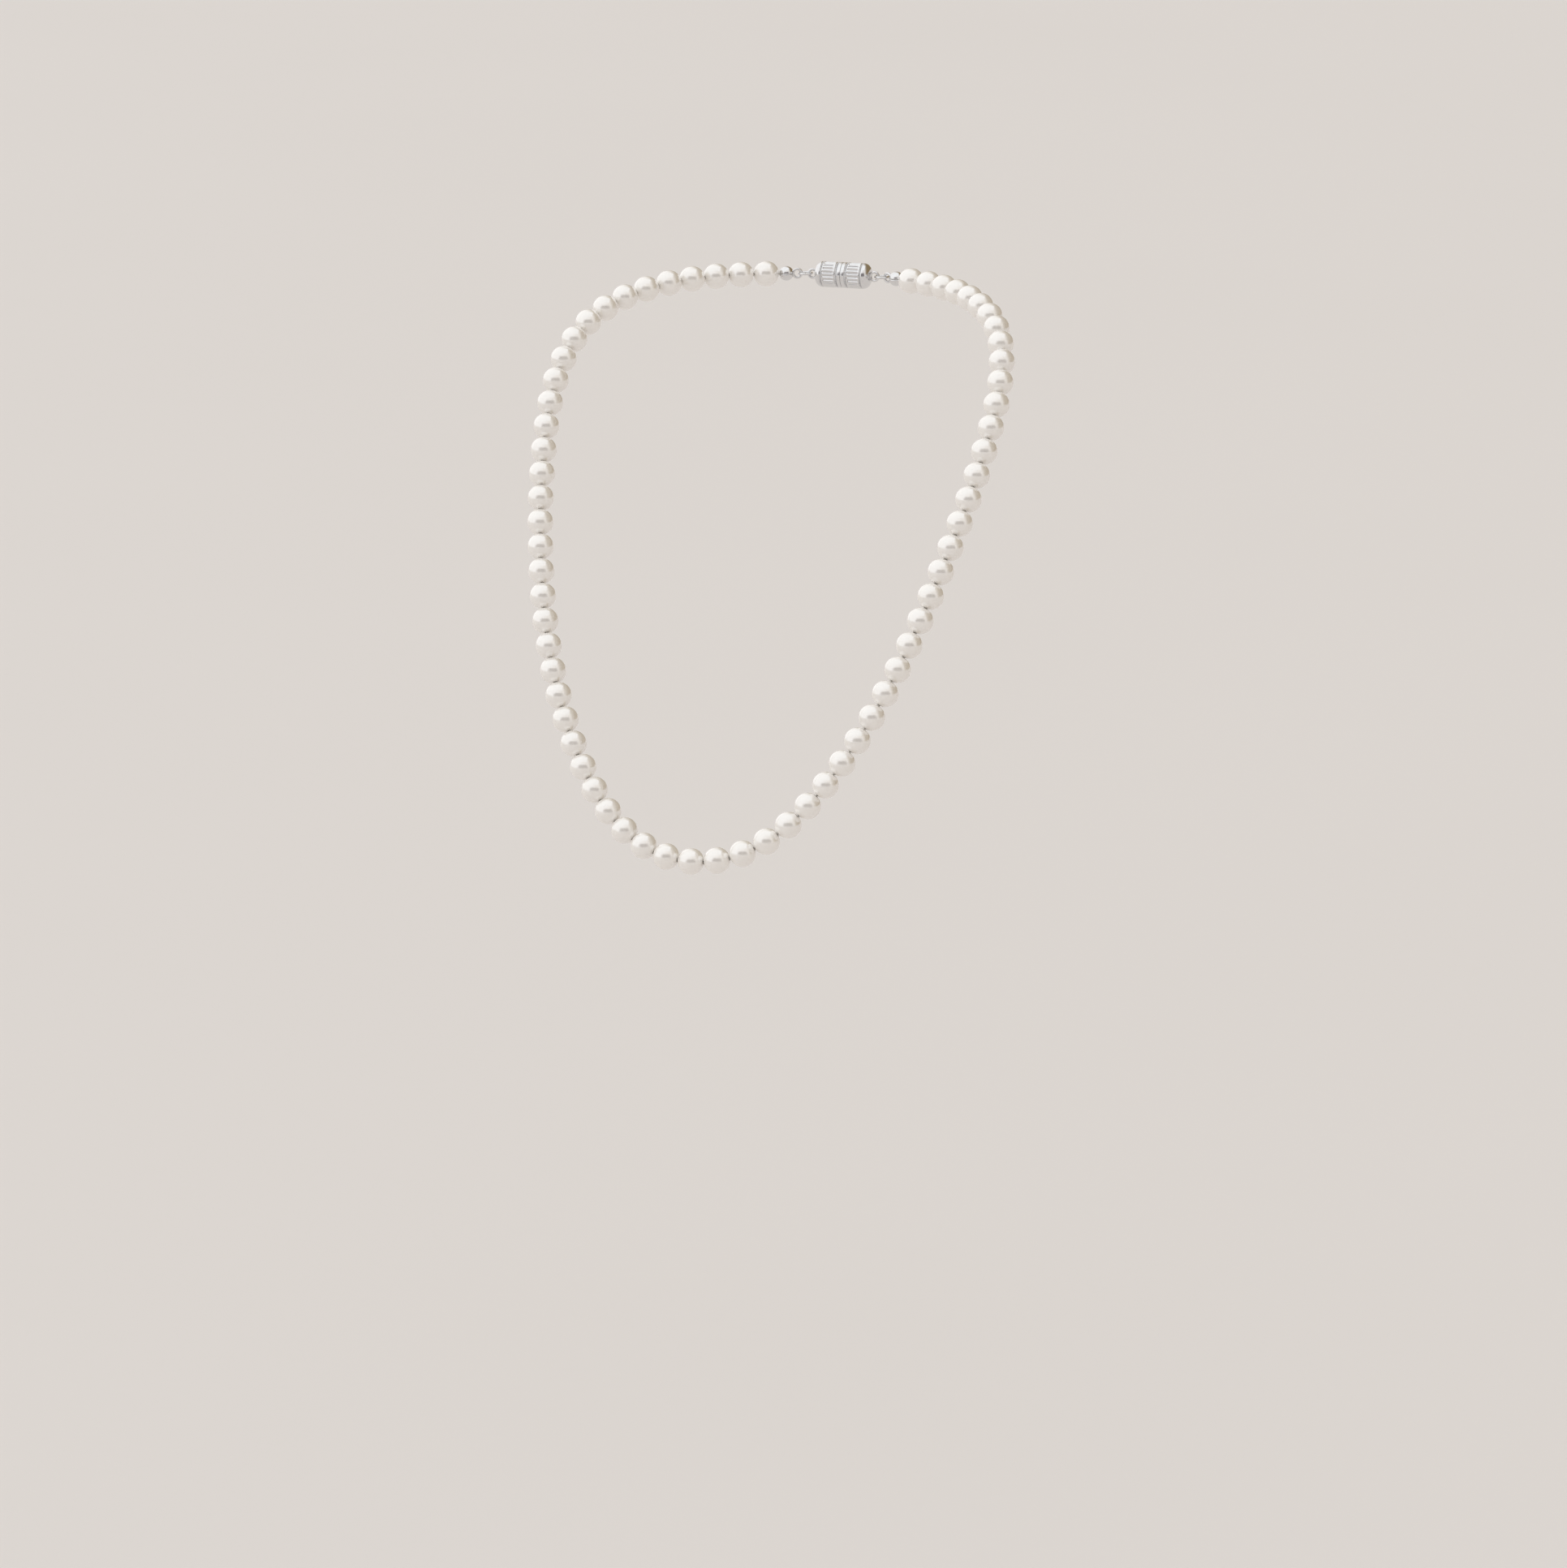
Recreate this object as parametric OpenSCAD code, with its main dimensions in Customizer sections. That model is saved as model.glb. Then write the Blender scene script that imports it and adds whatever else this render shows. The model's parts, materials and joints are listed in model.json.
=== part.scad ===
// Single-strand pearl necklace, shown as it lies around a neck.
// Origin: centre of the neck. +X: wearer's left, -Y: wearer's front, +Z: up.
// The strand follows one closed route that is symmetric about X = 0. Pearl 0 is the lowest
// one, at the front. Positive pearl numbers climb the wearer's left side, negative ones the
// right side, and both ends meet behind the neck in a magnetic clasp.

/* [Size] */
// Scale of the whole necklace, 1 for pearls of the diameter below
necklace_scale = 1; // [0.85:0.05:1.35]

/* [Pearls] */
// Diameter of every pearl
pearl_d = 6; // [5.8:0.05:6]
// Diameter of the hole drilled through each pearl
pearl_bore_d = 0.8; // [0.6:0.05:1.2]

/* [Thread] */
// Diameter of the stringing thread
thread_d = 0.36; // [0.2:0.02:0.44]
// Diameter of the knot that ends the thread
end_knot_d = 0.64; // [0.5:0.02:0.7]
// Length left between the end of a thread section and the point where it flexes
flex_gap = 0.06; // [0.05:0.01:0.1]

/* [Bead tips] */
// Outer diameter of the clam-shell ball that hides the end knot
tip_d = 3.4; // [3:0.1:3.4]
// Wall of the clam-shell ball
tip_wall = 0.45; // [0.35:0.05:0.5]
// Width of the slit between its two shells
tip_slit = 0.08; // [0.05:0.01:0.15]
// Outer diameter of the crimp bead inside it
crimp_d = 1.4; // [1:0.1:1.5]
// Length of the crimp bead
crimp_l = 1.3; // [1:0.1:1.4]

/* [Rings] */
// Diameter of the wire of the jump rings and of the loops
wire_d = 0.6; // [0.4:0.05:0.6]
// Diameter of the jump rings, measured to the middle of the wire
jump_ring_d = 3; // [2.9:0.05:3]
// Diameter of the fixed loops, measured to the middle of the wire
loop_d = 2; // [1.9:0.05:2]

/* [Clasp] */
// Diameter of the clasp barrel
clasp_d = 6; // [5:0.25:7]
// Length of one clasp cup without its loop
cup_l = 6.6; // [6.5:0.05:6.6]
// Diameter of the magnet discs
magnet_d = 4.3; // [3:0.1:4.3]
// Thickness of the magnet discs
magnet_t = 2.35; // [1.5:0.05:2.5]
// Number of flutes around each cup
flutes = 20; // [12:1:20]
// Gap between the two clasp faces
face_gap = 0.04; // [0.02:0.01:0.1]

/* [Hidden] */
$fn = 64;

// Half of the route at scale 1, from the lowest pearl to the back of the neck. They are the
// control points of a cubic B-spline, and the other half is their mirror image.
route_points = [
    [0, -65, -105], [16, -62, -101], [29, -56, -87], [40, -46, -67], [47, -34, -45], [52, -19, -23],
    [54, -5, -4], [50, 10, 8], [37, 27, 13], [20, 42, 13], [0, 48, 13]
];
route_steps = 24;
spans = len(route_points) - 1;
// How far either side of a point its direction is measured
direction_reach = 0.5;
// Halvings in the search for the strand's end
end_search_steps = 30;

// Three pearls make a section. Section 0 is the lowest pearl alone, and the first section
// on each side hangs rigidly from it, so that the front is one piece of seven pearls.
section_pearls = 3;
sections = 11;
pearls_per_side = section_pearls * sections;

// Where the hardware lies along one end, measured from the middle of its jump ring
ring_r = jump_ring_d / 2;
loop_r = loop_d / 2;
wire_r = wire_d / 2;
link_clearance = 0.05;
loop_x = ring_r - wire_d - link_clearance + loop_r;
tip_r = tip_d / 2;
tip_x = 4.45;
tip_hinge_l = 0.65;
tip_hole_play = 0.34;
tip_hole_d = thread_d + tip_hole_play;
end_knot_x = tip_x - tip_r / 2;
end_knot_step = 30;
strand_end_x = tip_x + tip_r + link_clearance;
crimp_x = tip_x + 0.15;
crimp_play = 0.08;
crimp_bore_d = thread_d + crimp_play;
thread_sides = 10;

// Where the clasp lies, measured from the plane between its faces
eye_x = cup_l + loop_r;
jump_ring_x = eye_x + loop_x;
magnet_recess = 0.05;
magnet_fit = 0.05;
rim_l = 1;
rim_chamfer = 0.2;
shoulder_l = 1.6;
shoulder_step = 15;
neck_d = 2.4;
// How far a cut runs past the surface that it opens
overcut = 1;
groove_d = 0.3;
flute_d = 0.6;
flute_offset = 0.08;

pearl_color = "#efe8da";
thread_color = "#f3efe6";
metal_color = "#c9cbce";
magnet_color = "#8d9094";

// ---- Route ----

function flip_x(p) = [-p[0], p[1], p[2]];

function route_point(i) = i < 0 ? flip_x(route_points[-i])
    : i > spans ? flip_x(route_points[2 * spans - i])
    : route_points[i];

function b_spline(a, b, c, d, t) = (
    pow(1 - t, 3) * a
    + (3 * pow(t, 3) - 6 * pow(t, 2) + 4) * b
    + (-3 * pow(t, 3) + 3 * pow(t, 2) + 3 * t + 1) * c
    + pow(t, 3) * d
) / 6;

route = [
    for (i = [0:spans - 1])
    for (step = [0:route_steps - 1])
    let (t = step / route_steps)
    b_spline(route_point(i - 1), route_point(i), route_point(i + 1), route_point(i + 2), t)
];

last_step = len(route) - 1;

travelled = [
    for (i = 0, s = 0; i <= last_step; s = s + norm(route[min(i + 1, last_step)] - route[i]), i = i + 1) s
];

route_by_axis = [for (axis = [0:2]) [for (i = [0:last_step]) [travelled[i], route[i][axis]]]];

// The point at a distance along the left half, and on either half for a signed distance
function half_route(s) = [for (axis = [0:2]) lookup(s, route_by_axis[axis])];
function on_route(s) = s < 0 ? flip_x(half_route(-s)) : half_route(s);

function unit(v) = v / norm(v);
function route_direction(s) = unit(half_route(s + direction_reach) - half_route(s - direction_reach));

// The middle of the jump ring if the strand ended at s
function ring_from_end(s) = half_route(s) + route_direction(s) * strand_end_x;

// The strand's end is where that puts the jump ring at the clasp's own jump_ring_x
function find_end(low, high, tries) = tries == 0 ? (low + high) / 2
    : ring_from_end((low + high) / 2)[0] > jump_ring_x ? find_end((low + high) / 2, high, tries - 1)
    : find_end(low, (low + high) / 2, tries - 1);

half_length = travelled[last_step];
strand_end = find_end(half_length - 2 * (jump_ring_x + strand_end_x), half_length, end_search_steps);
end_direction = -route_direction(strand_end);
jump_ring_at = ring_from_end(strand_end);
pitch = strand_end / (pearls_per_side + 0.5);

// The points between pearls, at half numbers, and the pearl centres, at whole numbers
function knot_at(n) = on_route(n * pitch);
function pearl_at(n) = (knot_at(n - 0.5) + knot_at(n + 0.5)) / 2;

// ---- Placing ----

// Puts +Z of its children at p, pointing along v
module aim(p, v) {
    translate(p)
    rotate([0, acos(v[2] / norm(v)), atan2(v[1], v[0])])
    children();
}

// Puts +X of its children at p, pointing along v
module lay(p, v) {
    translate(p)
    rotate([0, -asin(v[2] / norm(v)), atan2(v[1], v[0])])
    children();
}

module on_side(side) {
    if (side > 0) children();
    else mirror([1, 0, 0]) children();
}

// ---- Strand ----

module pearl(n) {
    color(pearl_color)
    aim(pearl_at(n), knot_at(n + 0.5) - knot_at(n - 0.5))
    difference() {
        sphere(d = pearl_d);
        cylinder(d = pearl_bore_d, h = 2 * pearl_d, center = true);
    }
}

module pearl_section(side, section) {
    for (n = [section * section_pearls - section_pearls + 1:section * section_pearls]) pearl(side * n);
}

// A tube with flat ends through points, with a radius at each point
module swept_tube(points, radii) {
    last = len(points) - 1;
    rings = [
        for (i = [0:last])
        let (
            arriving = i == 0 ? [0, 0, 0] : unit(points[i] - points[i - 1]),
            leaving = i == last ? [0, 0, 0] : unit(points[i + 1] - points[i]),
            across = unit(cross([0, 1, 0], arriving + leaving)),
            upward = unit(cross(arriving + leaving, across))
        )
        for (j = [0:thread_sides - 1])
        let (turn = j * 360 / thread_sides)
        points[i] + (across * cos(turn) + upward * sin(turn)) * radii[i]
    ];
    walls = [
        for (i = [0:last - 1])
        for (j = [0:thread_sides - 1])
        let (
            near = i * thread_sides,
            far = near + thread_sides,
            next = (j + 1) % thread_sides
        )
        for (triangle = [[near + j, far + j, near + next], [near + next, far + j, far + next]])
        triangle
    ];
    polyhedron(rings, concat(
        walls,
        [[for (j = [0:thread_sides - 1]) j]],
        [[for (j = [thread_sides - 1:-1:0]) last * thread_sides + j]]
    ));
}

// The thread stops short of p, the point where it flexes, on its way from q
function short_of(p, q) = p + unit(q - p) * flex_gap;

// The thread through pearls first to last, cut short where it flexes at each end
module thread_run(first, last) {
    knots = [for (n = [first:last + 1]) knot_at(n - 0.5)];
    end = len(knots) - 1;
    points = [
        short_of(knots[0], knots[1]),
        for (i = [1:end - 1]) knots[i],
        short_of(knots[end], knots[end - 1])
    ];
    color(thread_color) swept_tube(points, [for (p = points) thread_d / 2]);
}

module thread_section(side, section) {
    low = section * section_pearls - section_pearls + 1;
    high = section * section_pearls;
    if (section == sections) thread_end(side, low, high);
    else if (side > 0) thread_run(low, high);
    else thread_run(-high, -low);
}

// The last section runs on into its bead tip and ends in a knot there
module thread_end(side, low, high) {
    knots = [for (n = [low:high + 1]) knot_at(n - 0.5)];
    knot_r = end_knot_d / 2;
    turns = [end_knot_step:end_knot_step:180 - end_knot_step];
    run = [short_of(knots[0], knots[1]), for (i = [1:len(knots) - 1]) knots[i]];
    bulge = [for (turn = turns) jump_ring_at + end_direction * (end_knot_x + knot_r * cos(turn))];
    points = concat(run, bulge);
    radii = concat([for (p = run) thread_d / 2], [for (turn = turns) knot_r * sin(turn)]);
    color(thread_color) on_side(side) swept_tube(points, radii);
}

// ---- Strand ends, drawn from the middle of the jump ring with +X towards the pearls ----

module wire_ring(mean_r) {
    rotate_extrude() translate([mean_r, 0]) circle(d = wire_d, $fn = 32);
}

module at_strand_end(side) {
    on_side(side) lay(jump_ring_at, end_direction) children();
}

// A hollow ball turned around X, open at the thread's hole, and slit into two shells
module bead_tip(side) {
    color(metal_color)
    at_strand_end(side) {
        translate([loop_x, 0, 0]) rotate([90, 0, 0]) wire_ring(loop_r);
        translate([tip_x, 0, 0])
        difference() {
            rotate([0, 90, 0]) rotate_extrude() difference() {
                circle(d = tip_d);
                circle(d = tip_d - 2 * tip_wall);
                translate([-tip_d, -tip_d]) square([tip_d, 2 * tip_d]);
                square([tip_hole_d / 2, tip_d]);
            }
            translate([tip_hinge_l - tip_r, -tip_d, -tip_slit / 2]) cube([2 * tip_d, 2 * tip_d, tip_slit]);
        }
    }
}

module crimp_bead(side) {
    color(metal_color)
    at_strand_end(side)
    translate([crimp_x - crimp_l / 2, 0, 0])
    rotate([0, 90, 0])
    difference() {
        cylinder(d = crimp_d, h = crimp_l);
        translate([0, 0, -crimp_l]) cylinder(d = crimp_bore_d, h = 3 * crimp_l);
    }
}

module jump_ring(side) {
    color(metal_color)
    at_strand_end(side)
    wire_ring(ring_r);
}

// ---- Clasp, drawn from the plane between its faces with +X away from it ----

module at_clasp(side) {
    on_side(side) translate([0, jump_ring_at[1], jump_ring_at[2]]) children();
}

// Turns a profile drawn as [distance along X, radius] around the X axis
module turned(profile) {
    rotate([0, 90, 0]) rotate_extrude() polygon([for (p = profile) [p[1], p[0]]]);
}

module clasp_cup(side) {
    face = face_gap / 2;
    shoulder = cup_l - shoulder_l;
    clasp_r = clasp_d / 2;
    neck_r = neck_d / 2;
    groove_r = clasp_r - groove_d / 2;
    pocket_end = face + magnet_recess + magnet_t + magnet_fit;
    flute_start = rim_l + 2 * groove_d;
    flute_end = shoulder - groove_d;
    color(metal_color)
    at_clasp(side) {
        difference() {
            turned([
                [face, 0], [face, clasp_r - rim_chamfer], [face + rim_chamfer, clasp_r], [rim_l, clasp_r],
                [rim_l + groove_d / 2, groove_r], [rim_l + groove_d, clasp_r], [shoulder, clasp_r],
                for (turn = [shoulder_step:shoulder_step:90 - shoulder_step])
                [shoulder + shoulder_l * sin(turn), neck_r + (clasp_r - neck_r) * cos(turn)],
                [cup_l, neck_r], [cup_l, 0]
            ]);
            translate([-overcut, 0, 0]) rotate([0, 90, 0])
            cylinder(d = magnet_d + 2 * magnet_fit, h = overcut + pocket_end);
            for (i = [0:flutes - 1])
                rotate([i * 360 / flutes, 0, 0])
                translate([flute_start, 0, clasp_r + flute_offset])
                rotate([0, 90, 0]) cylinder(d = flute_d, h = flute_end - flute_start, $fn = 24);
        }
        translate([eye_x, 0, 0]) rotate([90, 0, 0]) wire_ring(loop_r);
    }
}

module clasp_magnet(side) {
    color(magnet_color)
    at_clasp(side)
    translate([face_gap / 2 + magnet_recess, 0, 0])
    rotate([0, 90, 0]) cylinder(d = magnet_d, h = magnet_t);
}

// ---- Nodes ----

function two_digits(n) = n < 10 ? str("0", n) : str(n);
function side_name(side) = side > 0 ? "left" : "right";
function section_node(piece, side, section) = str(piece, "_", side_name(side), "_", two_digits(section));
function side_node(piece, side) = str(piece, "_", side_name(side));

scale(necklace_scale) {
    pearl(0);  // pearl_center
    thread_run(-section_pearls, section_pearls);  // thread_front
    for (side = [1, -1]) {
        for (section = [1:sections])
            pearl_section(side, section);
        for (section = [2:sections])
            thread_section(side, section);
        bead_tip(side);
        crimp_bead(side);
        jump_ring(side);
        clasp_cup(side);
        clasp_magnet(side);
    }
}
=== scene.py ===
import json
import math
import random

import bmesh
import bpy
import numpy as np
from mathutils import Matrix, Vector


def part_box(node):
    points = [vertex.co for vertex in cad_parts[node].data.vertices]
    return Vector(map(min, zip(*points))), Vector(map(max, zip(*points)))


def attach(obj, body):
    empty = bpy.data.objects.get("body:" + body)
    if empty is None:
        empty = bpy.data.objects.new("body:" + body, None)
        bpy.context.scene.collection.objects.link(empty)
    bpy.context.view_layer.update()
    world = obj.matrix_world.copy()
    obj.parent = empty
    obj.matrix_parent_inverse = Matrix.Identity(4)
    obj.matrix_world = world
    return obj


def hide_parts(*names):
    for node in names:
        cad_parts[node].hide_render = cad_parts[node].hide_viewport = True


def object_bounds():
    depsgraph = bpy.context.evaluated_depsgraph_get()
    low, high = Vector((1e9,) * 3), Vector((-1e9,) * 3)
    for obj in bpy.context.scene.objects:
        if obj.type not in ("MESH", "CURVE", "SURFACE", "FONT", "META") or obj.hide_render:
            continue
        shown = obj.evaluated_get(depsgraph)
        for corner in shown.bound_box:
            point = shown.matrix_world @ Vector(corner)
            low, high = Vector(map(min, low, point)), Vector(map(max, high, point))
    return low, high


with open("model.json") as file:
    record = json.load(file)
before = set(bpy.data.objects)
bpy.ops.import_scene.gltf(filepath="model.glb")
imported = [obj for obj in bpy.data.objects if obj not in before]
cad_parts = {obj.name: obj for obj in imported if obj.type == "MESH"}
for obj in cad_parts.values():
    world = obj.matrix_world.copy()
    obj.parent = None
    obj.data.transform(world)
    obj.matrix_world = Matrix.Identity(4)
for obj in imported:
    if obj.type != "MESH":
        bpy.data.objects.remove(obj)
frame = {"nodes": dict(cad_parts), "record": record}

CAD_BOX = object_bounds()
MM = 0.001
# Points this close are one point
MERGE = 1e-7
# Room for rounding in a comparison
TINY = 1e-12
SECTIONS = 11
SECTION_PEARLS = 3
SIDES = ("left", "right")

# ---- Camera: the view of the reference, as angles round the necklace ----

AZIMUTH = math.radians(18.57)
ELEVATION = math.radians(12.93)
AIM = Vector((7.2, -20.5, -94.7)) * MM
DISTANCE = 1.4845
FOCAL_MM = 149.07
TOWARDS_CAMERA = Vector((
    math.sin(AZIMUTH) * math.cos(ELEVATION),
    -math.cos(AZIMUTH) * math.cos(ELEVATION),
    math.sin(ELEVATION),
))


def add_camera():
    data = bpy.data.cameras.new("camera")
    data.lens = FOCAL_MM
    data.sensor_width = 36
    data.clip_end = 50
    camera = bpy.data.objects.new("camera", data)
    camera.location = AIM + TOWARDS_CAMERA * DISTANCE
    camera.rotation_euler = TOWARDS_CAMERA.to_track_quat("Z", "Y").to_euler()
    bpy.context.scene.collection.objects.link(camera)
    bpy.context.scene.camera = camera


# ---- Mesh building ----

class Shape:
    """Vertices and faces that become one mesh piece."""

    def __init__(self):
        self.points = []
        self.faces = []
        self.tints = []

    def grid(self, rings, close_along=False, tint=0.5):
        """Joins rings of equal length into a surface. Each ring closes on itself."""
        first, n = len(self.points), len(rings[0])
        for ring in rings:
            self.points.extend(ring)
        self.tints.extend([tint] * (n * len(rings)))
        for i in range(len(rings) if close_along else len(rings) - 1):
            a, b = first + i * n, first + (i + 1) % len(rings) * n
            for j in range(n):
                k = (j + 1) % n
                self.faces.append((a + j, a + k, b + k, b + j))

    def cap(self, ring, tint=0.5, flip=False):
        """Closes a ring with a fan around its middle."""
        first, n = len(self.points), len(ring)
        middle = sum((Vector(p) for p in ring), Vector()) / n
        self.points.extend(ring)
        self.points.append(middle)
        self.tints.extend([tint] * (n + 1))
        for j in range(n):
            k = (j + 1) % n
            face = (first + j, first + k, first + n)
            self.faces.append(face[::-1] if flip else face)

    def piece(self, name, material):
        mesh = bpy.data.meshes.new(name)
        mesh.from_pydata([tuple(p) for p in self.points], [], self.faces)
        tint = mesh.attributes.new("tint", "FLOAT", "POINT")
        tint.data.foreach_set("value", np.array(self.tints, np.float32))
        work = bmesh.new()
        work.from_mesh(mesh)
        bmesh.ops.remove_doubles(work, verts=work.verts, dist=MERGE)
        bmesh.ops.recalc_face_normals(work, faces=work.faces)
        work.to_mesh(mesh)
        work.free()
        mesh.polygons.foreach_set("use_smooth", [True] * len(mesh.polygons))
        mesh.materials.append(material)
        obj = bpy.data.objects.new(name, mesh)
        bpy.context.scene.collection.objects.link(obj)
        return obj


def axes_along(direction, hint=Vector((0, 0, 1))):
    """Two unit vectors across a direction."""
    d = Vector(direction).normalized()
    side = hint.cross(d)
    if side.length < 1e-3:
        side = Vector((0, 1, 0)).cross(d)
    side.normalize()
    return side, d.cross(side)


# ---- What the CAD model says about the strand ----

def islands(obj):
    """The separate solids of a CAD node, each as (points, triangles)."""
    work = bmesh.new()
    work.from_mesh(obj.data)
    bmesh.ops.remove_doubles(work, verts=work.verts, dist=MERGE)
    bmesh.ops.triangulate(work, faces=work.faces)
    work.verts.ensure_lookup_table()
    seen, found = set(), []
    for start in work.verts:
        if start.index in seen:
            continue
        stack, members = [start], []
        seen.add(start.index)
        while stack:
            v = stack.pop()
            members.append(v)
            for e in v.link_edges:
                w = e.other_vert(v)
                if w.index not in seen:
                    seen.add(w.index)
                    stack.append(w)
        index = {v.index: i for i, v in enumerate(members)}
        points = np.array([v.co for v in members], float)
        faces = {f.index: [index[v.index] for v in f.verts] for v in members for f in v.link_faces}
        found.append((points, np.array(list(faces.values()))))
    work.free()
    return found


# Faces with their middle inside this share of a pearl's radius are the wall of its hole
BORE_WITHIN = 0.8


def read_pearl(points, faces):
    """A pearl's centre, its radius and the direction of its hole, from its CAD mesh."""
    fit = np.linalg.lstsq(np.c_[2 * points, np.ones(len(points))], (points**2).sum(1), rcond=None)[0]
    centre = fit[:3]
    radius = math.sqrt(fit[3] + centre @ centre)
    middles = points[faces].mean(1)
    wall = faces[np.linalg.norm(middles - centre, axis=1) < BORE_WITHIN * radius]
    rims = points[np.unique(wall)] - centre
    axis = np.linalg.svd(rims, full_matrices=False)[2][0]
    return Vector(centre), radius, Vector(axis)


def read_side(side, start):
    """The pearls of one side, in order from the front."""
    pearls, previous = [], start
    for section in range(1, SECTIONS + 1):
        node = f"pearls_{side}_{section:02d}"
        found = [read_pearl(*island) for island in islands(frame["nodes"][node])]
        found.sort(key=lambda p: (p[0] - previous).length)
        for centre, radius, axis in found:
            if axis.dot(centre - previous) < 0:
                axis = -axis
            pearls.append((node, centre, radius, axis))
            previous = centre
    return pearls


def knots_between(pearls):
    """The points where the thread bends between neighbouring pearls."""
    knots = []
    for (_, a, _, u), (_, b, _, v) in zip(pearls, pearls[1:]):
        half = (b - a).length / 2
        knots.append((a + u * half + b - v * half) / 2)
    return knots


# ---- Materials ----

def new_material(name):
    material = bpy.data.materials.new(name)
    material.use_nodes = True
    tree = material.node_tree
    shader = tree.nodes["Principled BSDF"]
    return material, tree, shader


def noise(tree, scale, detail=2.0, roughness=0.5):
    """A noise texture in object space, with its scale in waves per metre."""
    place = tree.nodes.new("ShaderNodeTexCoord")
    node = tree.nodes.new("ShaderNodeTexNoise")
    node.inputs["Scale"].default_value = scale
    node.inputs["Detail"].default_value = detail
    node.inputs["Roughness"].default_value = roughness
    tree.links.new(place.outputs["Object"], node.inputs["Vector"])
    return node.outputs["Fac"]


def spread(tree, value, low, high):
    """Maps 0..1 to low..high."""
    node = tree.nodes.new("ShaderNodeMapRange")
    node.inputs["To Min"].default_value = low
    node.inputs["To Max"].default_value = high
    tree.links.new(value, node.inputs["Value"])
    return node.outputs["Result"]


def mixed(tree, factor, a, b):
    """A colour between a and b. Either may be a socket or a colour."""
    node = tree.nodes.new("ShaderNodeMix")
    node.data_type = "RGBA"
    tree.links.new(factor, node.inputs["Factor"])
    for colour, socket in ((a, node.inputs[6]), (b, node.inputs[7])):
        if isinstance(colour, tuple):
            socket.default_value = (*colour, 1)
        else:
            tree.links.new(colour, socket)
    return node.outputs[2]


def bumped(tree, shader, height, strength, distance):
    node = tree.nodes.new("ShaderNodeBump")
    node.inputs["Strength"].default_value = strength
    node.inputs["Distance"].default_value = distance
    tree.links.new(height, node.inputs["Height"])
    tree.links.new(node.outputs["Normal"], shader.inputs["Normal"])


def pearl_material():
    """Pearl lustre: a cream body under a bright, slightly cool nacre and a clear gloss."""
    material, tree, shader = new_material("pearl_lustre")
    tint = tree.nodes.new("ShaderNodeAttribute")
    tint.attribute_name = "tint"
    clouds = noise(tree, 420, detail=3)
    body = mixed(tree, tint.outputs["Fac"], (0.99, 0.95, 0.88), (0.992, 0.955, 0.895))
    body = mixed(tree, spread(tree, clouds, 0.0, 0.35), body, (0.99, 0.95, 0.91))
    tree.links.new(body, shader.inputs["Base Color"])
    tree.links.new(spread(tree, noise(tree, 900), 0.14, 0.19), shader.inputs["Roughness"])
    bumped(tree, shader, noise(tree, 2600, detail=4), 0.05, 0.00004)
    shader.inputs["IOR"].default_value = 3.8
    shader.inputs["Specular Tint"].default_value = (0.96, 0.97, 1.0, 1)
    shader.inputs["Coat Weight"].default_value = 1.0
    shader.inputs["Coat Roughness"].default_value = 0.04
    shader.inputs["Coat IOR"].default_value = 1.6
    return material


def thread_material():
    """Off-white twisted silk, with fibres finer than a ply."""
    material, tree, shader = new_material("silk_thread")
    fibres = noise(tree, 9000, detail=4)
    tree.links.new(mixed(tree, fibres, (0.62, 0.58, 0.50), (0.88, 0.85, 0.78)), shader.inputs["Base Color"])
    tree.links.new(spread(tree, fibres, 0.55, 0.8), shader.inputs["Roughness"])
    shader.inputs["Sheen Weight"].default_value = 0.4
    bumped(tree, shader, fibres, 0.4, 0.00003)
    return material


def metal_material(name, colour, low, high, wear=2400):
    material, tree, shader = new_material(name)
    marks = noise(tree, wear, detail=5)
    dark = tuple(0.86 * c for c in colour)
    tree.links.new(mixed(tree, marks, dark, colour), shader.inputs["Base Color"])
    tree.links.new(spread(tree, marks, low, high), shader.inputs["Roughness"])
    shader.inputs["Metallic"].default_value = 1.0
    bumped(tree, shader, marks, 0.06, 0.00003)
    return material


# ---- Pearls ----

PEARL_TURNS = 56
PEARL_RINGS = 44
BORE_RADIUS = 0.4 * MM
MOUTH_ROUND = 0.09 * MM
# A pearl's outline is bent by a few waves, by about this share of its radius
OUT_OF_ROUND = 0.004
WAVES = 3
PEARL_SEED = 67


def pearl_profile(radius):
    """Closed outline of a drilled pearl's wall, as (distance along the hole, distance from it)."""
    edge = math.asin((BORE_RADIUS + MOUTH_ROUND) / radius)
    outline = []
    for i in range(PEARL_RINGS + 1):
        angle = edge + (math.pi - 2 * edge) * i / PEARL_RINGS
        outline.append((radius * math.cos(angle), radius * math.sin(angle)))
    depth = radius * math.cos(edge)
    mouth = []
    for turn in (math.pi / 8, math.pi / 4, 3 * math.pi / 8, math.pi / 2):
        drop = MOUTH_ROUND * (1 - math.cos(turn))
        mouth.append((depth - drop, BORE_RADIUS + MOUTH_ROUND * (1 - math.sin(turn))))
    wall = mouth + [(depth * share, BORE_RADIUS) for share in (0.7, 0.35, 0)]
    return outline + [(-x, r) for x, r in wall] + wall[-2::-1]


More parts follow.
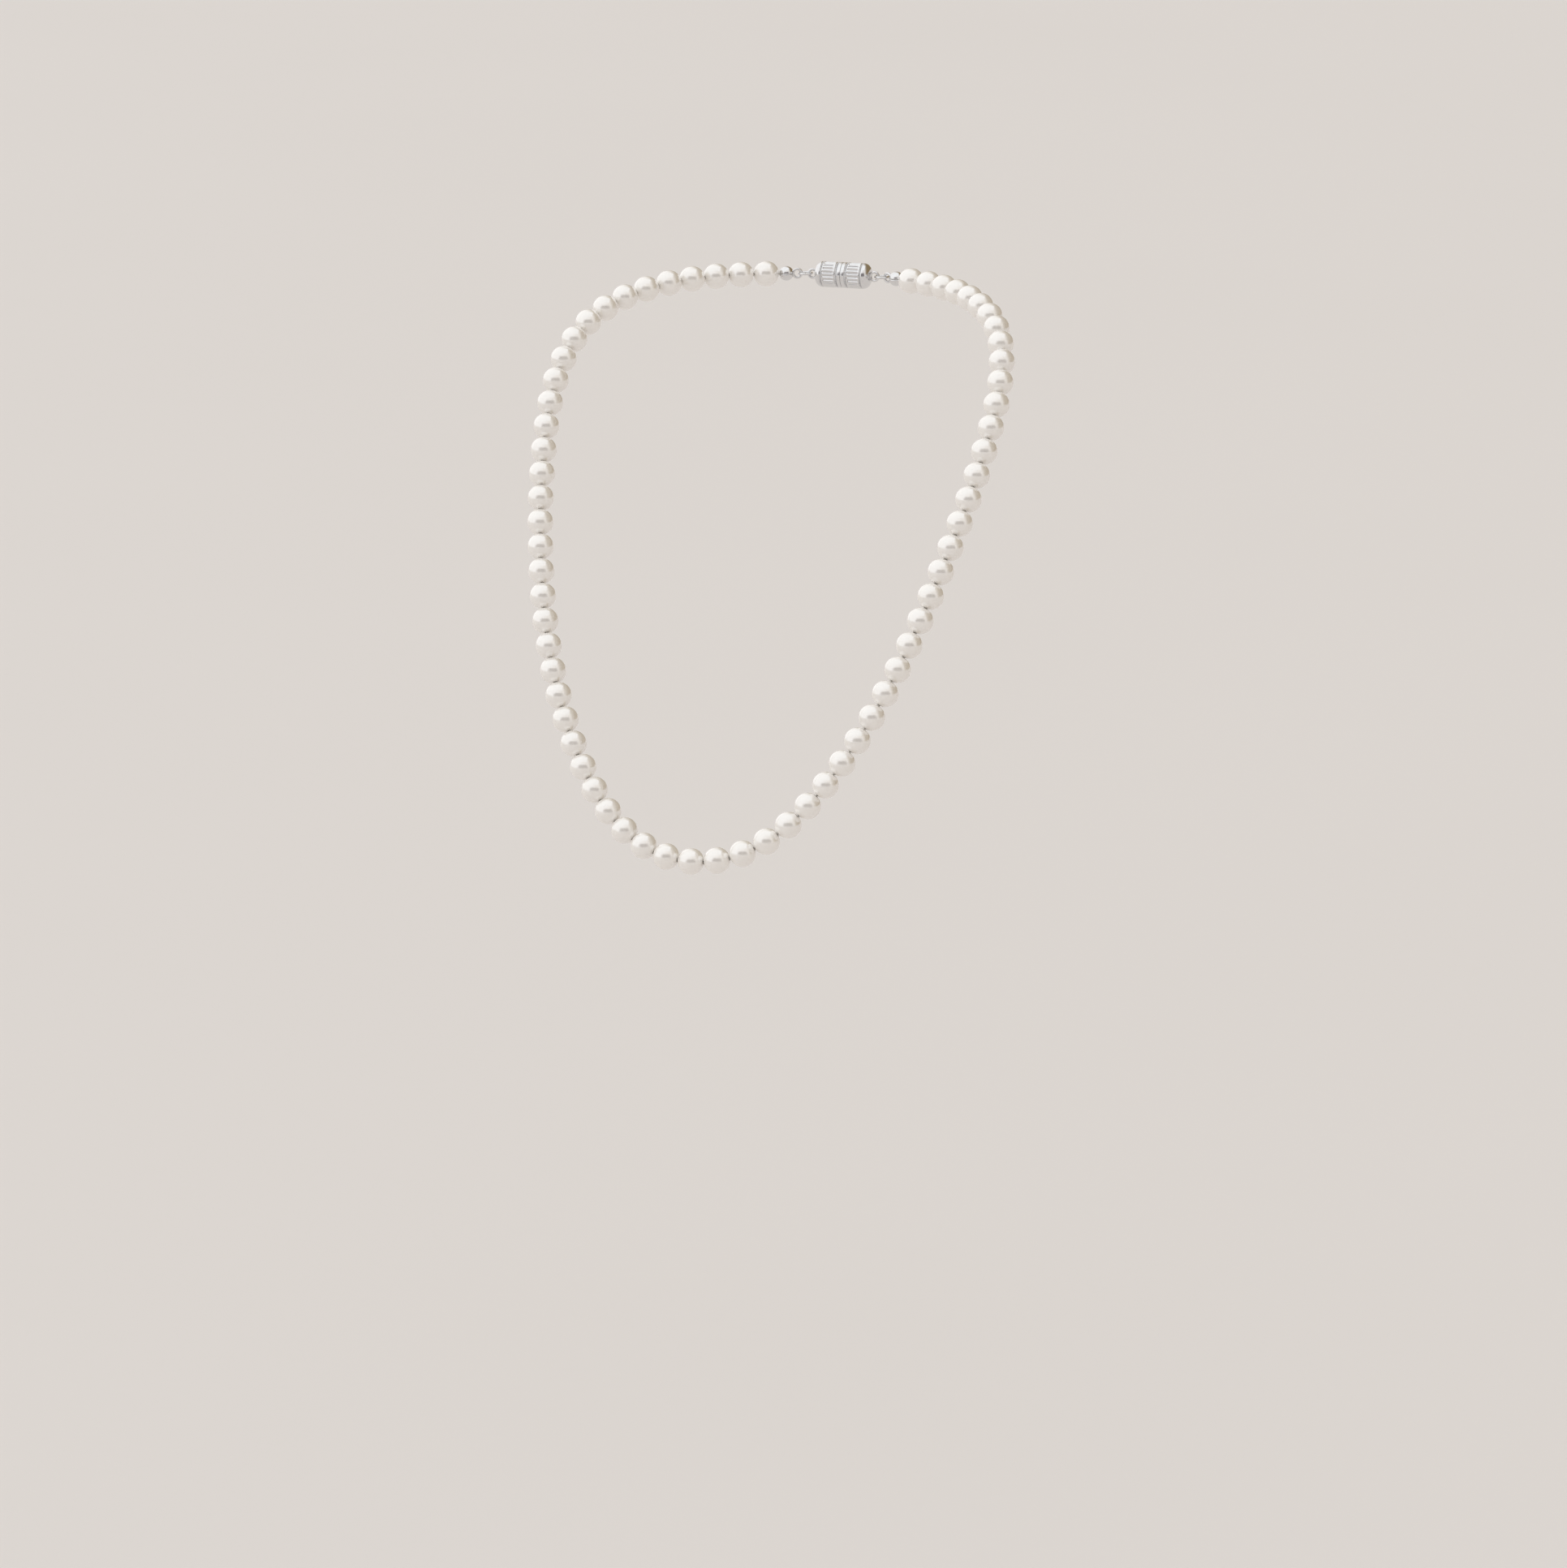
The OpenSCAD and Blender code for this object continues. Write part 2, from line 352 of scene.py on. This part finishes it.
def add_pearl(shape, centre, radius, axis, rng):
    """One drilled pearl, very slightly out of round, turned freely on its hole."""
    side, up = axes_along(axis)
    spin = rng.uniform(0, math.tau)
    waves = [
        (rng.randint(2, 4), rng.uniform(0, math.tau), rng.uniform(0.3, 1.0), rng.uniform(0, math.pi))
        for _ in range(WAVES)
    ]
    tint = rng.random()
    rings = []
    for x, r in pearl_profile(radius):
        ring = []
        for j in range(PEARL_TURNS):
            turn = spin + math.tau * j / PEARL_TURNS
            bend = sum(
                size * math.sin(count * turn + phase) * math.sin(math.pi * (x / radius + 1) / 2 + lean)
                for count, phase, size, lean in waves
            )
            shrink = 1 - OUT_OF_ROUND * (WAVES / 2 + bend) / WAVES
            out = side * math.cos(turn) + up * math.sin(turn)
            ring.append(centre + (axis * x + out * r) * shrink)
        rings.append(ring)
    shape.grid(rings, close_along=True, tint=tint)


# ---- Thread ----

THREAD_RADIUS = 0.18 * MM
PLY_TWIST = 0.9 * MM
PLY_STEPS = 10
PLY_SIDES = 7
PLIES = 3
# A ply's radius as a share of the thread's
PLY_SHARE = 0.56


def along(route, step):
    """Points at equal steps along a route, as (point, direction, distance)."""
    lengths = [0]
    for a, b in zip(route, route[1:]):
        lengths.append(lengths[-1] + (b - a).length)
    count = max(2, int(lengths[-1] / step))
    found = []
    for i in range(count + 1):
        s = lengths[-1] * i / count
        k = max(j for j in range(len(route) - 1) if lengths[j] <= s + TINY)
        a, b = route[k], route[k + 1]
        found.append((a.lerp(b, (s - lengths[k]) / (b - a).length), (b - a).normalized(), s))
    return found


def add_thread(shape, route):
    """Three plies twisted round each other along a route."""
    ply_radius = THREAD_RADIUS * PLY_SHARE
    offset = THREAD_RADIUS - ply_radius
    stations = along(route, PLY_TWIST / PLY_STEPS)
    for ply in range(PLIES):
        rings = []
        for point, direction, s in stations:
            side, up = axes_along(direction)
            turn = math.tau * (s / PLY_TWIST + ply / PLIES)
            middle = point + (side * math.cos(turn) + up * math.sin(turn)) * offset
            rings.append([
                middle + (side * math.cos(a) + up * math.sin(a)) * ply_radius
                for a in (math.tau * j / PLY_SIDES for j in range(PLY_SIDES))
            ])
        shape.grid(rings)
        shape.cap(rings[0], flip=True)
        shape.cap(rings[-1])


# ---- Metal parts at the back ----

class Placed(Shape):
    """A shape drawn from an origin, with +X along x_axis and +Z up."""

    def __init__(self, origin, x_axis):
        super().__init__()
        self.origin = Vector(origin)
        self.x = Vector(x_axis).normalized()
        self.y = Vector((0, 0, 1)).cross(self.x).normalized()
        self.z = self.x.cross(self.y)

    def at(self, x, y, z):
        return self.origin + self.x * x + self.y * y + self.z * z

    def turned(self, outline, turns, wobble=None):
        """Turns a closed outline of (distance along X, radius) round the X axis."""
        rings = []
        for x, r in outline:
            ring = []
            for j in range(turns):
                a = math.tau * j / turns
                size = r + (wobble(x, r, a) if wobble else 0)
                ring.append(self.at(x, size * math.cos(a), size * math.sin(a)))
            rings.append(ring)
        self.grid(rings, close_along=True)

    def wire(self, middle, ring_radius, wire_radius, flat, start=0.0, end=math.tau):
        """A ring of round wire round middle, in the XY plane if flat, else in the XZ plane."""
        whole = end - start > math.tau - TINY
        rings = []
        for i in range(WIRE_STEPS if whole else WIRE_STEPS + 1):
            a = start + (end - start) * i / WIRE_STEPS
            ring = []
            for j in range(WIRE_SIDES):
                b = math.tau * j / WIRE_SIDES
                out, across = ring_radius + wire_radius * math.cos(b), wire_radius * math.sin(b)
                u, v = out * math.cos(a), out * math.sin(a)
                ring.append(self.at(middle + u, v, across) if flat else self.at(middle + u, across, v))
            rings.append(ring)
        self.grid(rings, close_along=whole)
        if not whole:
            self.cap(rings[0], flip=True)
            self.cap(rings[-1])


def rounded(points, radius, steps=4):
    """Rounds the corners of an outline of (distance, radius) points."""
    out = [points[0]]
    for (ax, ay), (bx, by), (cx, cy) in zip(points, points[1:], points[2:]):
        before, corner, after = Vector((ax, ay)), Vector((bx, by)), Vector((cx, cy))
        cut = min(radius, (before - corner).length / 2, (after - corner).length / 2)
        start = corner + (before - corner).normalized() * cut
        end = corner + (after - corner).normalized() * cut
        for i in range(steps + 1):
            t = i / steps
            spot = start * (1 - t) ** 2 + corner * 2 * t * (1 - t) + end * t**2
            out.append((spot.x, spot.y))
    out.append(points[-1])
    return out


# Wire of the rings and loops
LOOP_RADIUS = 1.0 * MM
JUMP_RING_RADIUS = 1.5 * MM
JUMP_RING_CUT = math.radians(90)
JUMP_RING_HALF_GAP = math.radians(2)
WIRE_RADIUS = 0.3 * MM
WIRE_STEPS = 72
WIRE_SIDES = 18

# Clasp cup, measured along it from its face
CUP_FACE = 0.02 * MM
CUP_EDGE = 0.25 * MM
CUP_RIM = 1.0 * MM
DOME_LENGTH = 1.6 * MM
CUP_NECK = 1.2 * MM
CUP_END_PLAY = 0.02 * MM
# The flat end of the dome, as a share of the neck's radius
NOSE_SHARE = 0.75
CUP_ROUND = 0.12 * MM
NOSE_ROUND = 0.25 * MM
FINE_ROUND = 0.08 * MM
MOUTH_CHAMFER = 0.1 * MM
# What is drawn this close to the axis closes on it
AXIS_RADIUS = 0.02 * MM

# Grooves round the cup with a row of beads in each
GROOVE_DEPTH = 0.22 * MM
GROOVE_LENGTH = 0.35 * MM
GROOVE_BEVEL = 0.15 * MM
BACK_GROOVE = (-0.4 * MM, -0.3 * MM, -0.05 * MM, 0.05 * MM)
GROOVE_MIDDLE = 0.175 * MM
CUP_BEADS = 44
CUP_BEAD_RADIUS = 0.15 * MM
CUP_BEAD_DEPTH = 0.12 * MM
BEAD_RINGS = 8
BEAD_SIDES = 10

# Flutes between the grooves
FLUTES = 20
TURNS_PER_FLUTE = 10
FLUTE_DEPTH = 0.30 * MM
FLUTE_END = 0.4 * MM
FLUTE_SHARPNESS = 1.6
# Points this close to the barrel's radius are on its outside
ON_SURFACE = 0.01 * MM
FLUTE_FROM_GROOVE = 0.1 * MM
FLUTE_TO_SHOULDER = 0.5 * MM
FLUTE_STEP = 0.1 * MM
BAND_LENGTH = 0.45 * MM
MAGNET_PLAY = 0.05 * MM
MAGNET_ROUND = 0.15 * MM
MAGNET_TURNS = 64


def cup_outline(r, length, recess, mouth):
    """Outline of a clasp cup's wall, from the face along the outside and back down the pocket."""
    shoulder = length - DOME_LENGTH
    groove = r - GROOVE_DEPTH
    groove_end = CUP_RIM + GROOVE_LENGTH + GROOVE_BEVEL
    front = rounded([
        (CUP_FACE, r - CUP_EDGE),
        (CUP_FACE, r),
        (CUP_RIM - GROOVE_BEVEL, r),
        (CUP_RIM, groove),
        (CUP_RIM + GROOVE_LENGTH, groove),
        (groove_end, r),
    ], CUP_ROUND)
    steps = range(1, int(length / FLUTE_STEP))
    places = [groove_end + FLUTE_STEP * i for i in steps]
    fluted = [(x, r) for x in places if x < shoulder - BAND_LENGTH]
    across = (r, groove, groove, r)
    band = rounded([(shoulder + x, size) for x, size in zip(BACK_GROOVE, across)], FINE_ROUND)
    dome = []
    for degrees in range(8, 89, 8):
        t = math.radians(degrees)
        x = shoulder + BACK_GROOVE[-1] + (length - shoulder) * math.sin(t)
        dome.append((x, CUP_NECK + (r - CUP_NECK) * math.cos(t)))
    end = length + CUP_END_PLAY
    nose = rounded([dome[-1], (end, CUP_NECK * NOSE_SHARE), (end, AXIS_RADIUS)], NOSE_ROUND)
    inside = [
        (recess, AXIS_RADIUS),
        (recess, mouth),
        (CUP_FACE + MOUTH_CHAMFER, mouth),
        (CUP_FACE, mouth + MOUTH_CHAMFER),
    ]
    return front + fluted + band + dome + nose + inside


def clasp_cup(shape, r, length, recess, mouth):
    """A fluted cup with beaded bands, a domed shoulder and a fixed loop. X runs away from its face."""
    shoulder = length - DOME_LENGTH
    flute_low = CUP_RIM + GROOVE_LENGTH + GROOVE_BEVEL + FLUTE_FROM_GROOVE
    flute_high = shoulder - FLUTE_TO_SHOULDER

    def wobble(x, radius, angle):
        if radius < r - ON_SURFACE or not flute_low <= x <= flute_high:
            return 0
        window = min(1, (x - flute_low) / FLUTE_END, (flute_high - x) / FLUTE_END)
        wave = 0.5 + 0.5 * math.cos(FLUTES * angle)
        return -FLUTE_DEPTH * wave**FLUTE_SHARPNESS * math.sin(math.pi / 2 * max(0, window))

    shape.turned(cup_outline(r, length, recess, mouth), FLUTES * TURNS_PER_FLUTE, wobble)
    out = r - CUP_BEAD_DEPTH
    for where in (CUP_RIM + GROOVE_MIDDLE, shoulder - GROOVE_MIDDLE):
        for i in range(CUP_BEADS):
            a = math.tau * i / CUP_BEADS
            add_bead(shape, shape.at(where, out * math.cos(a), out * math.sin(a)), CUP_BEAD_RADIUS)
    shape.wire(length + LOOP_RADIUS, LOOP_RADIUS, WIRE_RADIUS, flat=False)


def add_bead(shape, middle, radius):
    """A small plain ball."""
    rings = []
    for i in range(1, BEAD_RINGS):
        polar = math.pi * i / BEAD_RINGS
        ring = []
        for j in range(BEAD_SIDES):
            a = math.tau * j / BEAD_SIDES
            out = math.sin(polar)
            ring.append(middle + Vector((math.cos(polar), out * math.cos(a), out * math.sin(a))) * radius)
        rings.append(ring)
    shape.grid(rings)
    shape.cap(rings[0], flip=True)
    shape.cap(rings[-1])


# Bead tip and crimp bead, measured from the middle of the jump ring
TIP_LOOP_X = 1.85 * MM
TIP_BALL_X = 4.45 * MM
TIP_WALL = 0.45 * MM
TIP_HOLE = 0.36 * MM
TIP_SEAM = 0.03
TIP_LIP = 0.03 * MM
TIP_RINGS = 16
TIP_TURNS = 72
# The hinge is a block between these shares of the ball's radius, with this half width and height
HINGE_FROM = 0.93
HINGE_TO = 0.86
HINGE_HALF = (0.35 * MM, 0.32 * MM)
CRIMP_X = 4.6 * MM
CRIMP_BORE = 0.24 * MM
# Half the crimp bead's length and its radius there, halfway in, and at the waist
CRIMP_END = (0.65 * MM, 0.7 * MM)
CRIMP_SLOPE = (0.3 * MM, 0.66 * MM)
CRIMP_WAIST = 0.58 * MM
CRIMP_TURNS = 48


def bead_tip(shape, radius):
    """A clam-shell ball of two half shells on a wire loop. X runs towards the pearls."""
    hole = TIP_HOLE / radius

    def rim(turn):
        """How far from its pole a half shell reaches, with a notch for the thread."""
        off = math.acos(max(0.0, math.cos(turn))) / hole
        return math.pi / 2 - TIP_SEAM - hole * max(0.0, 1 - off**2) ** 0.5

    outside = [(radius, i) for i in range(1, TIP_RINGS)] + [(radius - TIP_LIP, TIP_RINGS)]
    inside = [(radius - TIP_WALL, i) for i in range(TIP_RINGS, 0, -1)]
    for half in (1, -1):
        rings = []
        for size, i in outside + inside:
            ring = []
            for j in range(TIP_TURNS):
                a = math.tau * j / TIP_TURNS
                polar = rim(a) * i / TIP_RINGS
                out = size * math.sin(polar)
                ring.append(shape.at(TIP_BALL_X + out * math.cos(a), out * math.sin(a),
                                     half * size * math.cos(polar)))
            rings.append(ring)
        shape.grid(rings)
        shape.cap(rings[0], flip=True)
        shape.cap(rings[-1])
    shape.wire(TIP_LOOP_X, LOOP_RADIUS, WIRE_RADIUS, flat=False)
    width, height = HINGE_HALF
    ends = []
    for share in (HINGE_FROM, HINGE_TO):
        x = TIP_BALL_X - radius * share
        ends.append([shape.at(x, y, z) for y, z in
                     ((-width, -height), (width, -height), (width, height), (-width, height))])
    shape.grid(ends)
    shape.cap(ends[0], flip=True)
    shape.cap(ends[1])


def crimp_bead(shape):
    """A pressed tube with a waist, on the thread inside the bead tip."""
    (end, end_r), (slope, slope_r) = CRIMP_END, CRIMP_SLOPE
    waist = [
        (CRIMP_X - end, CRIMP_BORE),
        (CRIMP_X - end, end_r),
        (CRIMP_X - slope, slope_r),
        (CRIMP_X, CRIMP_WAIST),
        (CRIMP_X + slope, slope_r),
        (CRIMP_X + end, end_r),
        (CRIMP_X + end, CRIMP_BORE),
    ]
    shape.turned(rounded(waist, FINE_ROUND), CRIMP_TURNS)


def reach(node):
    """The least and the greatest distance of a CAD node from the middle plane of the clasp."""
    low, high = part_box(node)
    return min(abs(low.x), abs(high.x)), max(abs(low.x), abs(high.x))


def add_clasp_half(side):
    """Replaces one side's clasp cup and magnet."""
    low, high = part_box(f"clasp_cup_{side}")
    middle = (low + high) / 2
    outwards = Vector((1 if side == "left" else -1, 0, 0))
    clasp_at = Vector((0, middle.y, middle.z))
    cup_length = reach(f"clasp_cup_{side}")[1] - 2 * LOOP_RADIUS - WIRE_RADIUS
    magnet_low, magnet_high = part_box(f"clasp_magnet_{side}")
    magnet_r = (magnet_high.z - magnet_low.z) / 2
    magnet_in, magnet_out = reach(f"clasp_magnet_{side}")
    cup = Placed(clasp_at, outwards)
    clasp_cup(cup, (high.z - low.z) / 2, cup_length, magnet_out + MAGNET_PLAY, magnet_r + MAGNET_PLAY)
    finish_piece(cup.piece(f"look_clasp_cup_{side}", silver), f"clasp_cup_{side}")
    disc = Placed(clasp_at, outwards)
    disc.turned(rounded([
        (magnet_in, AXIS_RADIUS),
        (magnet_in, magnet_r),
        (magnet_out, magnet_r),
        (magnet_out, AXIS_RADIUS),
    ], MAGNET_ROUND), MAGNET_TURNS)
    finish_piece(disc.piece(f"look_clasp_magnet_{side}", magnet_metal), f"clasp_magnet_{side}")


def add_end_fittings(side):
    """Replaces one side's jump ring, bead tip and crimp bead, in line with the end of the strand."""
    ring_low, ring_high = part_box(f"jump_ring_{side}")
    ring_at = (ring_low + ring_high) / 2
    tip_low, tip_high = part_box(f"bead_tip_{side}")
    _, centre, _, axis = strand[side][-1]
    strand_end = centre + axis * (centre - strand[side][-2][1]).length / 2
    inwards = (strand_end - ring_at).normalized()
    ring = Placed(ring_at, inwards)
    ring.wire(0, JUMP_RING_RADIUS, WIRE_RADIUS, flat=True, start=JUMP_RING_CUT + JUMP_RING_HALF_GAP,
              end=JUMP_RING_CUT + math.tau - JUMP_RING_HALF_GAP)
    finish_piece(ring.piece(f"look_jump_ring_{side}", silver), f"jump_ring_{side}")
    tip = Placed(ring_at, inwards)
    bead_tip(tip, (tip_high.z - tip_low.z) / 2)
    finish_piece(tip.piece(f"look_bead_tip_{side}", silver), f"bead_tip_{side}")
    crimp = Placed(ring_at, inwards)
    crimp_bead(crimp)
    finish_piece(crimp.piece(f"look_crimp_bead_{side}", crimp_metal), f"crimp_bead_{side}")


# ---- Stage ----

FLOOR_BELOW = 0.120
FLOOR_HALF = 12
FLOOR_COLOURS = ((0.803, 0.771, 0.752), (0.817, 0.785, 0.766))

# The camera's heading, which the lighting is laid out by
RIGHT = Vector((math.cos(AZIMUTH), math.sin(AZIMUTH), 0))
TOWARDS = Vector((math.sin(AZIMUTH), -math.cos(AZIMUTH), 0))
UP = Vector((0, 0, 1))

# The softbox, in heights above the necklace
BOX_TURN = math.radians(-8)
BOX_ACROSS = (-1.3, 0.55)
BOX_AHEAD = (-0.45, 0.62)
BOX_EDGE = 0.05
BOX_LOWEST = 0.05

# What each part of the room sends out, and where one part gives way to the next
SOFTBOX = (1.12, 1.13, 1.13)
ROOM_LEFT = (1.12, 1.11, 1.10)
ROOM_RIGHT = (0.93, 0.89, 0.84)
ROOM_DIM = (0.28, 0.21, 0.12)
ROOM_CAMERA = (0.24, 0.22, 0.22)
LEFT_TO_RIGHT = (-0.6, 0.6)
DIM_HEADING = RIGHT - TOWARDS * 0.7
DIM_FROM = (0.2, 0.8)
CAMERA_SIDE = (0.6, 0.85)
CAMERA_SIDE_UP = (0.10, 0.45, 0.15)


def add_floor():
    material, tree, shader = new_material("stage_floor")
    grain = noise(tree, 3, detail=2)
    tree.links.new(mixed(tree, grain, *FLOOR_COLOURS), shader.inputs["Base Color"])
    shader.inputs["Roughness"].default_value = 0.8
    shader.inputs["Specular IOR Level"].default_value = 0.2
    level = CAD_BOX[0][2] - FLOOR_BELOW
    half = FLOOR_HALF
    corners = [(-half, -half, level), (half, -half, level), (half, half, level), (-half, half, level)]
    mesh = bpy.data.meshes.new("stage_floor")
    mesh.from_pydata(corners, [], [(0, 1, 2, 3)])
    mesh.materials.append(material)
    floor = bpy.data.objects.new("stage_floor", mesh)
    bpy.context.scene.collection.objects.link(floor)


def add_world():
    """A white studio room with a softbox overhead, dim on the camera's side and far on the right."""
    world = bpy.data.worlds.new("studio")
    bpy.context.scene.world = world
    world.use_nodes = True
    tree = world.node_tree
    place = tree.nodes.new("ShaderNodeTexCoord").outputs["Generated"]

    def math_node(operation, *values):
        node = tree.nodes.new("ShaderNodeMath")
        node.operation = operation
        for socket, value in zip(node.inputs, values):
            if isinstance(value, (int, float)):
                socket.default_value = value
            else:
                tree.links.new(value, socket)
        return node.outputs["Value"]

    def part_along(direction):
        node = tree.nodes.new("ShaderNodeVectorMath")
        node.operation = "DOT_PRODUCT"
        node.inputs[1].default_value = direction.normalized()
        tree.links.new(place, node.inputs[0])
        return node.outputs["Value"]

    def step(value, low, high):
        """0 below low, 1 above high and smooth between them."""
        node = tree.nodes.new("ShaderNodeMapRange")
        node.interpolation_type = "SMOOTHSTEP"
        node.inputs["From Min"].default_value = low
        node.inputs["From Max"].default_value = high
        tree.links.new(value, node.inputs["Value"])
        return node.outputs["Result"]

    def within(value, low, high, edge):
        """1 between low and high, fading to 0 over an edge outside them."""
        return math_node("MULTIPLY", step(value, low - edge, low),
                         math_node("SUBTRACT", 1.0, step(value, high, high + edge)))

    up = part_along(UP)
    across = part_along(RIGHT * math.cos(BOX_TURN) + TOWARDS * math.sin(BOX_TURN))
    ahead = part_along(TOWARDS * math.cos(BOX_TURN) - RIGHT * math.sin(BOX_TURN))
    height = math_node("MAXIMUM", up, BOX_LOWEST)
    softbox = math_node(
        "MULTIPLY",
        within(math_node("DIVIDE", across, height), *BOX_ACROSS, BOX_EDGE),
        within(math_node("DIVIDE", ahead, height), *BOX_AHEAD, BOX_EDGE),
    )
    room = mixed(tree, step(part_along(RIGHT), *LEFT_TO_RIGHT), ROOM_LEFT, ROOM_RIGHT)
    room = mixed(tree, step(part_along(DIM_HEADING), *DIM_FROM), room, ROOM_DIM)
    camera_side = math_node("MULTIPLY", step(part_along(TOWARDS), *CAMERA_SIDE), within(up, *CAMERA_SIDE_UP))
    room = mixed(tree, camera_side, room, ROOM_CAMERA)
    room = mixed(tree, softbox, room, SOFTBOX)
    tree.links.new(room, tree.nodes["Background"].inputs["Color"])
    tree.nodes["Background"].inputs["Strength"].default_value = 1.0


# ---- Putting the necklace together ----

def finish_piece(piece, node):
    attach(piece, body_of[node])
    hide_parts(node)


def add_pearls():
    """One piece for each CAD node of pearls."""
    rng = random.Random(PEARL_SEED)
    groups = {"pearl_center": [middle]}
    for side in SIDES:
        for pearl in strand[side][1:]:
            groups.setdefault(pearl[0], []).append(pearl)
    for node, pearls in groups.items():
        shape = Shape()
        for _, centre, radius, axis in pearls:
            add_pearl(shape, centre, radius, axis, rng)
        finish_piece(shape.piece(f"look_{node}", pearl_look), node)


def add_thread_piece(node, route):
    shape = Shape()
    add_thread(shape, route)
    finish_piece(shape.piece(f"look_{node}", thread_look), node)


def add_threads():
    """One piece for each section of thread, between the knots where it flexes."""
    ends = {side: knots[side][:SECTION_PEARLS + 1] for side in SIDES}
    add_thread_piece("thread_front", ends["right"][::-1] + ends["left"])
    for side in SIDES:
        for section in range(2, SECTIONS + 1):
            first = SECTION_PEARLS * (section - 1)
            route = knots[side][first:first + SECTION_PEARLS + 1]
            # From the last knot the last section goes straight to the middle of the bead tip
            if section == SECTIONS:
                low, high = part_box(f"bead_tip_{side}")
                route = route + [(low + high) / 2]
            add_thread_piece(f"thread_{side}_{section:02d}", route)


add_camera()
add_floor()
add_world()
bpy.context.scene.view_settings.view_transform = "Standard"

pearl_look = pearl_material()
thread_look = thread_material()
silver = metal_material("silver_plate", (0.83, 0.83, 0.84), 0.10, 0.22)
crimp_metal = metal_material("crimp_plate", (0.74, 0.73, 0.71), 0.25, 0.4)
magnet_metal = metal_material("nickel_plate", (0.58, 0.58, 0.6), 0.25, 0.4)

centre, radius, _ = read_pearl(*islands(frame["nodes"]["pearl_center"])[0])
middle = ("pearl_center", centre, radius, Vector((1, 0, 0)))
strand = {side: [middle] + read_side(side, centre) for side in SIDES}
strand["right"][0] = ("pearl_center", centre, radius, Vector((-1, 0, 0)))
knots = {side: knots_between(strand[side]) for side in SIDES}
body_of = {node: body for body, nodes in frame["record"]["behaviour"]["bodies"].items() for node in nodes}

add_pearls()
add_threads()
for side in SIDES:
    add_clasp_half(side)
    add_end_fittings(side)
